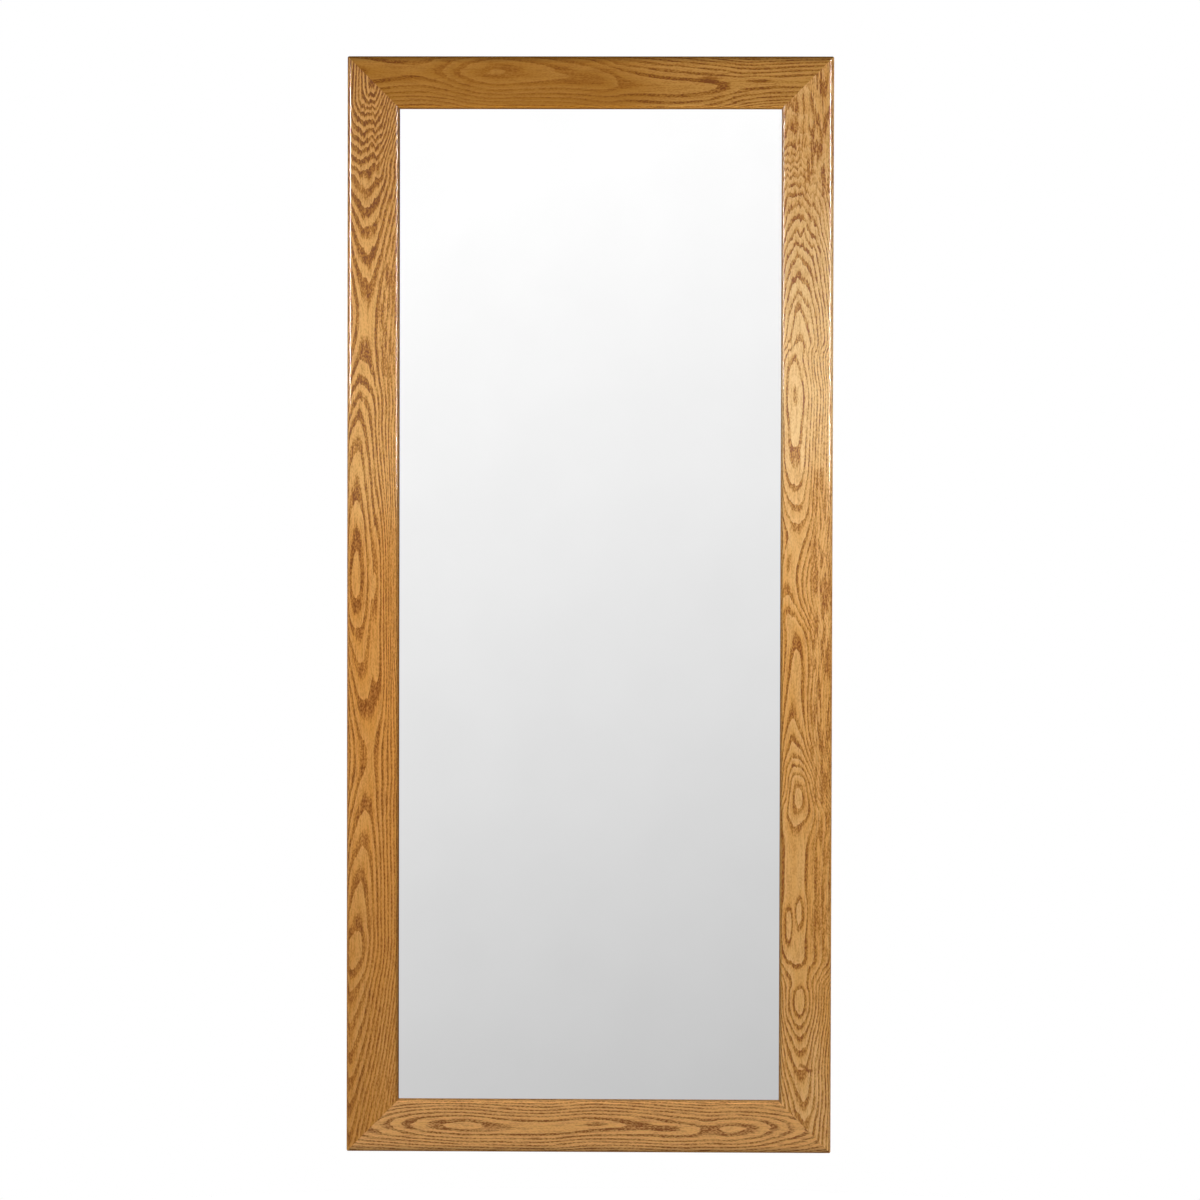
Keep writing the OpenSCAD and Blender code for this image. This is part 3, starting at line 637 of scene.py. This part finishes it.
def makeRubber(look):
    material, tree, place = startMaterial(look["name"])
    grain = addNode(tree, "TexNoise", {"Vector": place, "Scale": 1000 / look["grain"], "Detail": 3.0})
    bloom = {"Vector": place, "Scale": 1000 / rubberSkin["bloomSize"], "Detail": 4.0}
    dull = addNode(tree, "MapRange", [addNode(tree, "TexNoise", bloom), *rubberSkin["bloomRange"]])
    tone = addNode(tree, "Mix", {"Factor": dull, "A": colour(look["face"]), "B": colour(look["bloom"])},
                   data_type="RGBA")
    roughest = look["roughness"] + rubberSkin["bloomRoughness"]
    rough = addNode(tree, "MapRange", [dull, 0.0, 1.0, look["roughness"], roughest])
    relief = look["relief"] / 1000
    skin = addNode(tree, "Bump", {"Height": grain, "Strength": rubberSkin["bump"], "Distance": relief})
    endMaterial(tree, {"Base Color": tone, "Roughness": rough, "Normal": skin, "IOR": rubberSkin["ior"]})
    return material


for look in rubbers.values():
    dress(startingWith(look["nodes"]), makeRubber(look))
print("packers and bumpers done")


# Plated steel: zinc on the screws and corner plates, nickel on the hangers. Zinc is blue-grey and
# cloudy, nickel warm and brighter, and both keep faint scratches from the tumbling. Sizes in mm
platings = {
    "screws": {
        "name": "steel_zinc_plated_headed",
        "nodes": ("back_panel_screws", "corner_plate_screws", "hanger_strap_screws", "wall_bumper_screws"),
        "bright": "#CDD1D3", "dull": "#9FA5A9", "cloud": 3.0, "scratch": 1.0, "relief": 0.02,
        "roughness": 0.3,
    },
    "plates": {
        "name": "steel_zinc_plated_stamped", "nodes": ("corner_plate_top", "corner_plate_bottom"),
        "bright": "#D0D4D6", "dull": "#A6ACB0", "cloud": 12.0, "scratch": 1.6, "relief": 0.03,
        "roughness": 0.34,
    },
    "hangers": {
        "name": "steel_nickel_plated_bent",
        "nodes": ("hanger_strap_left", "hanger_strap_right", "hanger_ring"),
        "bright": "#DAD4C8", "dull": "#B9B1A3", "cloud": 7.0, "scratch": 1.2, "relief": 0.02,
        "roughness": 0.22,
    },
}
# What all platings share. A scratch is scratchLength times as long as it is wide
platingWear = {
    "cloudRange": (0.35, 0.65), "cloudRoughness": 0.16, "scratchLength": 12.5, "scratchRoughness": 0.1,
    "bump": 0.35,
}


def makePlated(look):
    material, tree, place = startMaterial(look["name"])
    cloud = {"Vector": place, "Scale": 1000 / look["cloud"], "Detail": 5.0, "Roughness": 0.6}
    dull = addNode(tree, "MapRange", [addNode(tree, "TexNoise", cloud), *platingWear["cloudRange"]])
    tone = addNode(tree, "Mix", {"Factor": dull, "A": colour(look["bright"]), "B": colour(look["dull"])},
                   data_type="RGBA")
    width = look["scratch"]
    scratch = grains(tree, place, (width, width, width * platingWear["scratchLength"]), 3.0)
    rough = addNode(tree, "Math", [dull, platingWear["cloudRoughness"], look["roughness"]], "MULTIPLY_ADD")
    rough = addNode(tree, "Math", [scratch, platingWear["scratchRoughness"], rough], "MULTIPLY_ADD")
    relief = look["relief"] / 1000
    skin = addNode(tree, "Bump", {"Height": scratch, "Strength": platingWear["bump"], "Distance": relief})
    endMaterial(tree, {"Base Color": tone, "Roughness": rough, "Normal": skin, "Metallic": 1.0})
    return material


for look in platings.values():
    dress(startingWith(look["nodes"]), makePlated(look))
print("screws, plates and hangers done")


# Puts an object into the scene
def addToScene(name, data):
    thing = bpy.data.objects.new(name, data)
    bpy.context.scene.collection.objects.link(thing)
    return thing


# The camera looks at the middle of the mirror's front, from a little above and to the right of it.
# Distances in m, roll in degrees, lens and sensor in mm, shifts as shares of the picture
view = {
    "distance": 8.0, "right": 0.147, "up": 0.196, "roll": 0.13, "lens": 146.3, "sensor": 36,
    "shiftX": 0.0088, "shiftY": 0.0048,
}


def placeCamera():
    data = bpy.data.cameras.new("camera")
    data.sensor_width = view["sensor"]
    data.lens = view["lens"]
    data.shift_x = view["shiftX"]
    data.shift_y = view["shiftY"]
    camera = addToScene("camera", data)
    camera.location = (view["right"], frontFace - view["distance"], view["up"])
    toMiddle = Vector((0, frontFace, 0)) - camera.location
    roll = Matrix.Rotation(math.radians(view["roll"]), 3, "Z")
    camera.rotation_euler = (toMiddle.to_track_quat("-Z", "Y").to_matrix() @ roll).to_euler()
    bpy.context.scene.camera = camera


placeCamera()

# Upright softboxes round the mirror. Turn is in degrees to the right of straight in front, and away,
# low, high and wide are m. The diffuse ones light the colours, and the glossy ones make bright lines alone
softboxes = {
    "left": {
        "for": "diffuse", "turn": -20, "away": 2.0, "low": 0.0, "high": 0.8, "wide": 0.8, "level": 6.5,
    },
    "right": {
        "for": "diffuse", "turn": 20, "away": 2.0, "low": 0.0, "high": 0.8, "wide": 0.8, "level": 6.5,
    },
    "glossLeft": {
        "for": "glossy", "turn": -31, "away": 3.0, "low": 0.4, "high": 1.1, "wide": 0.5, "level": 320,
    },
    "glossRight": {
        "for": "glossy", "turn": 22, "away": 3.0, "low": 0.2, "high": 1.2, "wide": 0.4, "level": 400,
    },
    "rearLeft": {
        "for": "diffuse", "turn": -130, "away": 3.4, "low": 0.2, "high": 2.4, "wide": 1.2, "level": 8,
    },
    "rearRight": {
        "for": "diffuse", "turn": 130, "away": 3.4, "low": 0.2, "high": 2.4, "wide": 1.2, "level": 8,
    },
    "rearGloss": {
        "for": "glossy", "turn": 150, "away": 3.4, "low": 0.6, "high": 2.4, "wide": 1.0, "level": 2.5,
    },
}


def placeSoftbox(name, box):
    lamp = bpy.data.lights.new("softbox_" + name, "AREA")
    lamp.shape = "RECTANGLE"
    lamp.size = box["wide"]
    lamp.size_y = box["high"] - box["low"]
    lamp.energy = box["level"] * math.pi * lamp.size * lamp.size_y
    holder = addToScene("softbox_" + name, lamp)
    turn = math.radians(box["turn"])
    spot = Vector((math.sin(turn), -math.cos(turn), 0)) * box["away"]
    holder.location = spot + Vector((0, 0, (box["low"] + box["high"]) / 2))
    holder.rotation_euler = (math.radians(90), 0, turn)
    holder.visible_camera = False
    holder.visible_diffuse = box["for"] == "diffuse"
    holder.visible_glossy = box["for"] == "glossy"
    return holder


# 1 for light that has met no matt surface on its way to the eye, otherwise 0
def unscattered(tree, path):
    return addNode(tree, "Math", [path.outputs["Diffuse Depth"], 0.5], "LESS_THAN")


# Keeps a glossy softbox from showing in the glass, as a white patch, and from lighting matt surfaces
# by way of shiny ones
def keepOffGlass(holder, receivers):
    holder.light_linking.receiver_collection = receivers
    holder.data.use_nodes = True
    tree = holder.data.node_tree
    direct = unscattered(tree, addNode(tree, "LightPath"))
    tree.links.new(direct.outputs[0], tree.nodes["Emission"].inputs["Strength"])


notInGlass = bpy.data.collections.new("not_in_glass")
notInGlass.objects.link(nodes["mirror_glass"])
notInGlass.collection_objects[0].light_linking.link_state = "EXCLUDE"
for name, box in softboxes.items():
    holder = placeSoftbox(name, box)
    if box["for"] == "glossy":
        keepOffGlass(holder, notInGlass)

# The room, white to the camera. Matt surfaces get its dim fill, a little more from the front and from
# below, and most from overhead. Glass and metal show a grey that pales upwards and to the left
room = {
    "fill": 0.22, "fromFront": 0.08, "fromBelow": 0.16, "overhead": 0.4, "overheadStart": 0.6,
    "grey": 0.89, "paleUpwards": 2.43, "paleLeftwards": 0.88, "least": 0.5, "most": 1.06,
}


def makeRoom(look):
    world = bpy.data.worlds.new("studio")
    bpy.context.scene.world = world
    world.use_nodes = True
    tree = world.node_tree
    tree.nodes.clear()
    add = partial(addNode, tree)
    path = add("LightPath")
    toward = add("TexCoord").outputs["Generated"]
    slope = (-look["paleLeftwards"], 0, look["paleUpwards"])
    grey = add("VectorMath", [toward, slope], "DOT_PRODUCT").outputs["Value"]
    grey = add("Math", [grey, look["grey"]], "ADD")
    grey = add("Clamp", {"Value": grey, "Min": look["least"], "Max": look["most"]})
    slope = (0, -look["fromFront"], -look["fromBelow"])
    fill = add("VectorMath", [toward, slope], "DOT_PRODUCT").outputs["Value"]
    fill = add("Math", [fill, look["fill"]], "ADD", use_clamp=True)
    height = add("SeparateXYZ", [toward]).outputs["Z"]
    overhead = add("MapRange", [height, look["overheadStart"], 1.0, 0.0, look["overhead"]])
    fill = add("Math", [fill, overhead], "ADD")
    mirrored = [path.outputs["Is Glossy Ray"], path.outputs["Is Transmission Ray"]]
    mirrored = add("Math", mirrored, "MAXIMUM")
    mirrored = add("Math", [mirrored, unscattered(tree, path)], "MULTIPLY")
    strength = add("Mix", {"Factor": mirrored, "A": fill, "B": grey})
    strength = add("Mix", {"Factor": path.outputs["Is Camera Ray"], "A": strength, "B": 1.0})
    add("OutputWorld", {"Surface": add("Background", {"Color": (1, 1, 1, 1), "Strength": strength})})


makeRoom(room)
bpy.context.scene.view_settings.view_transform = "Standard"
print("camera, lamps and room done")


# Floor: a round board, well below the mirror, painted matt white with a faint mottle. It glows a little
# to the camera alone. Sizes in m
floorBoard = {
    "height": -1.4, "radius": 3.0, "corners": 96, "paint": "#E9E8E6", "mottle": "#F1F0EE",
    "mottleSize": 0.025, "roughness": 0.9, "glow": 0.62,
}


def makeFloor(look):
    turns = [2 * math.pi * i / look["corners"] for i in range(look["corners"])]
    radius = look["radius"]
    edge = [(radius * math.cos(turn), radius * math.sin(turn), look["height"]) for turn in turns]
    mesh = bpy.data.meshes.new("floor")
    mesh.from_pydata(edge, [], [tuple(range(len(edge)))])
    floor = addToScene("floor", mesh)
    material, tree, place = startMaterial("board_painted_matt_white")
    mottle = addNode(tree, "TexNoise", {"Vector": place, "Scale": 1 / look["mottleSize"]})
    tones = {"Factor": mottle, "A": colour(look["paint"]), "B": colour(look["mottle"])}
    paint = addNode(tree, "Mix", tones, data_type="RGBA")
    shader = endMaterial(tree, {"Base Color": paint, "Roughness": look["roughness"]})
    glow = addNode(tree, "Emission", {"Color": (1, 1, 1, 1), "Strength": look["glow"]})
    lit = addNode(tree, "AddShader", [shader, glow])
    toCamera = addNode(tree, "LightPath").outputs["Is Camera Ray"]
    surface = addNode(tree, "MixShader", [toCamera, shader, lit])
    output = next(node for node in tree.nodes if node.type == "OUTPUT_MATERIAL")
    tree.links.new(surface.outputs[0], output.inputs["Surface"])
    mesh.materials.append(material)
    return floor


floor = makeFloor(floorBoard)
print("floor done")

bpy.context.view_layer.update()
